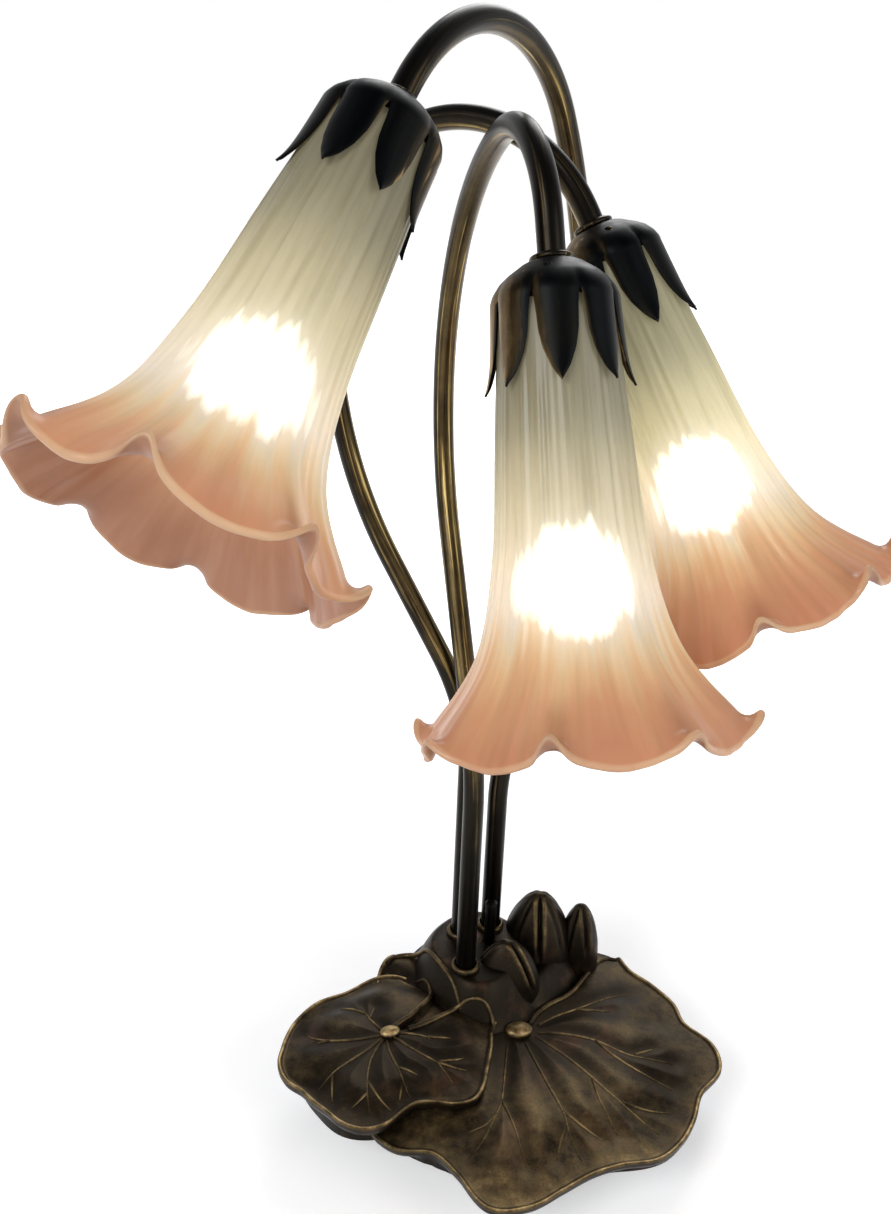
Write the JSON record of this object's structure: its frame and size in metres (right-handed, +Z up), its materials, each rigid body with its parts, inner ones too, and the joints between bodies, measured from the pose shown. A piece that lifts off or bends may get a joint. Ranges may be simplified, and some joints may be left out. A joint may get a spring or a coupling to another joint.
{
  "type": "tulip shade table lamp",
  "caption": "Table lamp with a cast lily-pad base, bent metal arms and drooping ruffled tulip glass shades held in petal cups, with screw-in bulbs.",
  "frame": {"origin": "on the table plane under the base, near the middle of the base outline", "axes": "+Z up, -Y towards the front shade (the pictured side), +X towards the right-hand shade"},
  "size_m": [0.3133, 0.2811, 0.4755],
  "materials": {
    "antique_bronze": "dark olive-brown antique patina, rubbed gold on raised edges",
    "dark_bronze": "satin dark bronze",
    "tulip_glass": "translucent ivory to amber-pink blown glass, satin",
    "bulb_glass": "frosted",
    "brass": "plain brass",
    "zinc_steel": "zinc plated",
    "phenolic": "dark moulded resin",
    "nylon": "ivory nylon",
    "wire_sleeve": "gold-clear wire sleeve",
    "felt": "wool felt"
  },
  "bodies": {
    "stand": {"felt_pad": "felt", "base_plate": "zinc_steel", "base_casting": "antique_bronze", "plate_screw_1": "zinc_steel", "plate_screw_2": "zinc_steel", "plate_screw_3": "zinc_steel", "switch_body": "phenolic", "cord_bushing": "nylon", "foot_ring_left": "antique_bronze", "foot_washer_left": "zinc_steel", "foot_nut_left": "brass", "splice_cap_left": "nylon", "arm_tube_left": "dark_bronze", "arm_wire_left": "wire_sleeve", "cup_collar_left": "antique_bronze", "petal_cup_left": "dark_bronze", "cup_nut_left": "brass", "lamp_holder_left": "phenolic", "shade_ring_left": "phenolic", "glass_shade_left": "tulip_glass", "foot_ring_front": "antique_bronze", "foot_washer_front": "zinc_steel", "foot_nut_front": "brass", "splice_cap_front": "nylon", "arm_tube_front": "dark_bronze", "arm_wire_front": "wire_sleeve", "cup_collar_front": "antique_bronze", "petal_cup_front": "dark_bronze", "cup_nut_front": "brass", "lamp_holder_front": "phenolic", "shade_ring_front": "phenolic", "glass_shade_front": "tulip_glass", "foot_ring_right": "antique_bronze", "foot_washer_right": "zinc_steel", "foot_nut_right": "brass", "splice_cap_right": "nylon", "arm_tube_right": "dark_bronze", "arm_wire_right": "wire_sleeve", "cup_collar_right": "antique_bronze", "petal_cup_right": "dark_bronze", "cup_nut_right": "brass", "lamp_holder_right": "phenolic", "shade_ring_right": "phenolic", "glass_shade_right": "tulip_glass"},
    "knob": {"switch_knob": "dark_bronze"},
    "bulb_foot_left": {"bulb_contact_left": "brass"},
    "bulb_left": {"bulb_cap_left": "brass", "bulb_glass_left": "bulb_glass"},
    "bulb_foot_front": {"bulb_contact_front": "brass"},
    "bulb_front": {"bulb_cap_front": "brass", "bulb_glass_front": "bulb_glass"},
    "bulb_foot_right": {"bulb_contact_right": "brass"},
    "bulb_right": {"bulb_cap_right": "brass", "bulb_glass_right": "bulb_glass"}
  },
  "joints": [
    {"name": "switch_turn", "type": "hinge", "parent": "stand", "child": "knob", "pos_m": [-0.0036, 0.0497, 0.05], "axis": [0, 0, 1], "continuous": true},
    {"name": "bulb_left_feed", "type": "slide", "parent": "stand", "child": "bulb_foot_left", "axis": [-0.3621, -0.5795, -0.7302], "range_m": [0, 0.0114]},
    {"name": "bulb_left_turn", "type": "hinge", "parent": "bulb_foot_left", "child": "bulb_left", "pos_m": [-0.07386, -0.04951, 0.40419], "axis": [-0.3621, -0.5795, -0.7302], "range_deg": [0, 1440]},
    {"name": "bulb_front_feed", "type": "slide", "parent": "stand", "child": "bulb_foot_front", "axis": [0.1019, -0.3855, -0.9171], "range_m": [0, 0.0114]},
    {"name": "bulb_front_turn", "type": "hinge", "parent": "bulb_foot_front", "child": "bulb_front", "pos_m": [0.00456, -0.04749, 0.34662], "axis": [0.1019, -0.3855, -0.9171], "range_deg": [0, 1440]},
    {"name": "bulb_right_feed", "type": "slide", "parent": "stand", "child": "bulb_foot_right", "axis": [0.4372, -0.2807, -0.8545], "range_m": [0, 0.0114]},
    {"name": "bulb_right_turn", "type": "hinge", "parent": "bulb_foot_right", "child": "bulb_right", "pos_m": [0.04164, 0.01886, 0.35544], "axis": [0.4372, -0.2807, -0.8545], "range_deg": [0, 1440]}
  ],
  "couplings": [
    {"joint": "bulb_left_feed", "follows": "bulb_left_turn", "m_per_rad": 0.00044882},
    {"joint": "bulb_front_feed", "follows": "bulb_front_turn", "m_per_rad": 0.00044882},
    {"joint": "bulb_right_feed", "follows": "bulb_right_turn", "m_per_rad": 0.00044882}
  ]
}
